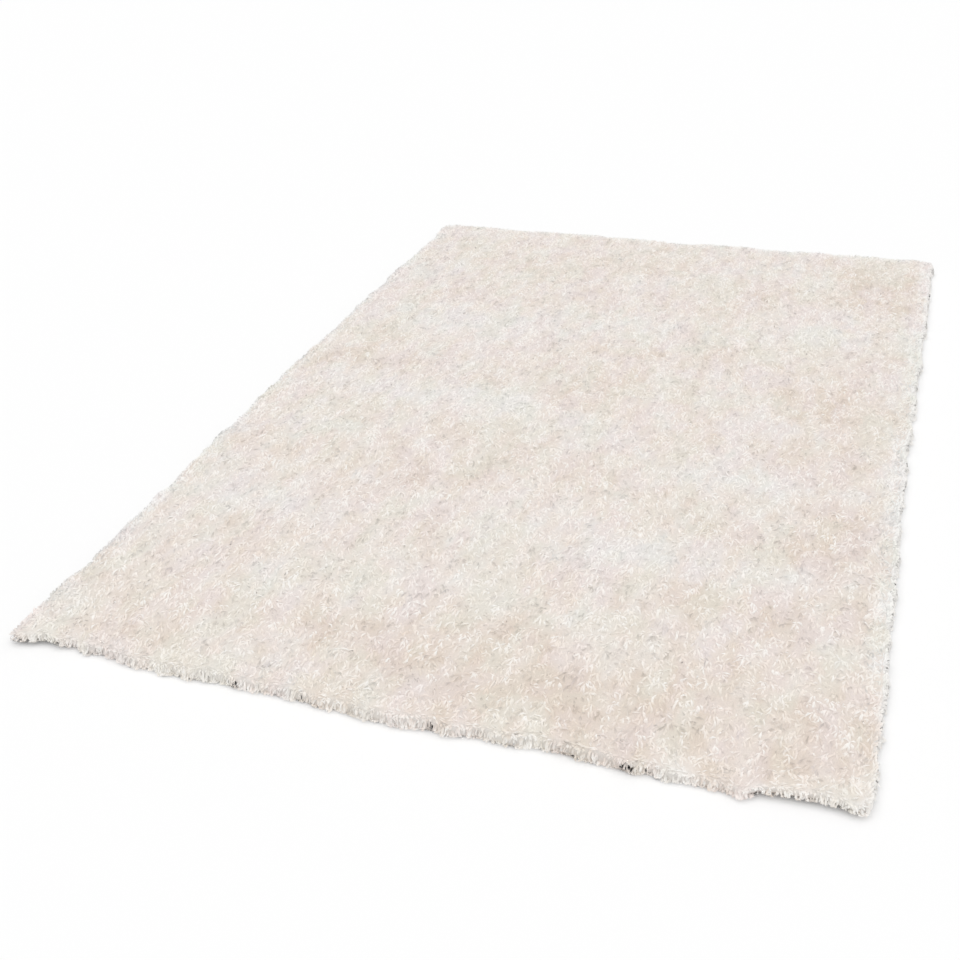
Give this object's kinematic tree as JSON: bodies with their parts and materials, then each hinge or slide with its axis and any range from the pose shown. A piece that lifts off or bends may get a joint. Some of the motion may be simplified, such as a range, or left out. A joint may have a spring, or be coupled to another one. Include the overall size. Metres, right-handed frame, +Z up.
{
  "type": "shag rug",
  "caption": "Rectangular deep-pile rug in mottled cream, lying flat, with soft uneven locks leaning out over its rim and a flat woven ground cloth underneath.",
  "frame": {"origin": "on the floor under the middle of the rug's bounding box", "axes": "+Z up through the pile, +Y along the rug's length away from the near short side, +X along its width"},
  "size_m": [1.6176, 2.373, 0.0417],
  "materials": {
    "cream_yarn": "matt, soft and fibrous",
    "ground_cloth": "matt plain weave"
  },
  "bodies": {
    "root": {"pile": "cream_yarn", "backing": "ground_cloth"}
  },
  "joints": []
}
